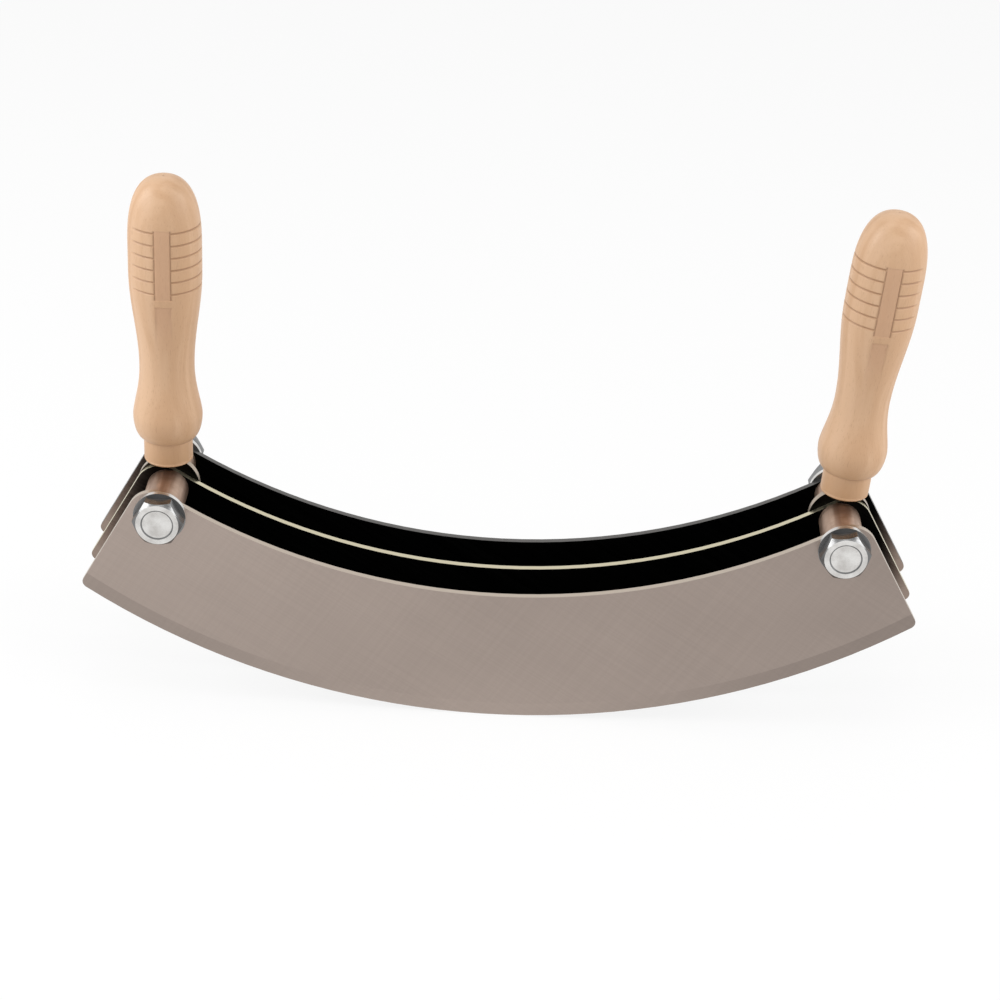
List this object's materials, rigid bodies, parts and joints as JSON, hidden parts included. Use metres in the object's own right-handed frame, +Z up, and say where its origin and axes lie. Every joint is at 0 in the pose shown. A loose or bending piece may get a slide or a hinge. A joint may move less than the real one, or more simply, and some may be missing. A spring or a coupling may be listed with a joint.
{
  "type": "mezzaluna",
  "caption": "Rocking herb chopper: parallel crescent blades on spacer tubes, clamped by two through bolts that also hold upright turned wooden grips.",
  "frame": {"origin": "under the middle blade at its middle, on the surface that the three curved edges stand on", "axes": "+X along the blades to the right, +Y across them from the bolt heads to the nuts, +Z up"},
  "size_m": [0.3206, 0.0678, 0.2094],
  "materials": {
    "blade_steel": "satin, fine diagonal scratches, ground bevel",
    "beech_wood": "turned beech, waxed, fine upright pores",
    "plated_steel": "bright zinc plate"
  },
  "bodies": {
    "root": {"front_blade": "blade_steel", "middle_blade": "blade_steel", "back_blade": "blade_steel", "left_tang": "blade_steel", "right_tang": "blade_steel", "left_handle": "beech_wood", "right_handle": "beech_wood", "left_bolt": "plated_steel", "right_bolt": "plated_steel", "left_head_washer": "plated_steel", "right_head_washer": "plated_steel", "left_front_spacer": "plated_steel", "right_front_spacer": "plated_steel", "left_rear_spacer": "plated_steel", "right_rear_spacer": "plated_steel", "left_nut_washer": "plated_steel", "right_nut_washer": "plated_steel", "left_nut": "plated_steel", "right_nut": "plated_steel"}
  },
  "joints": []
}
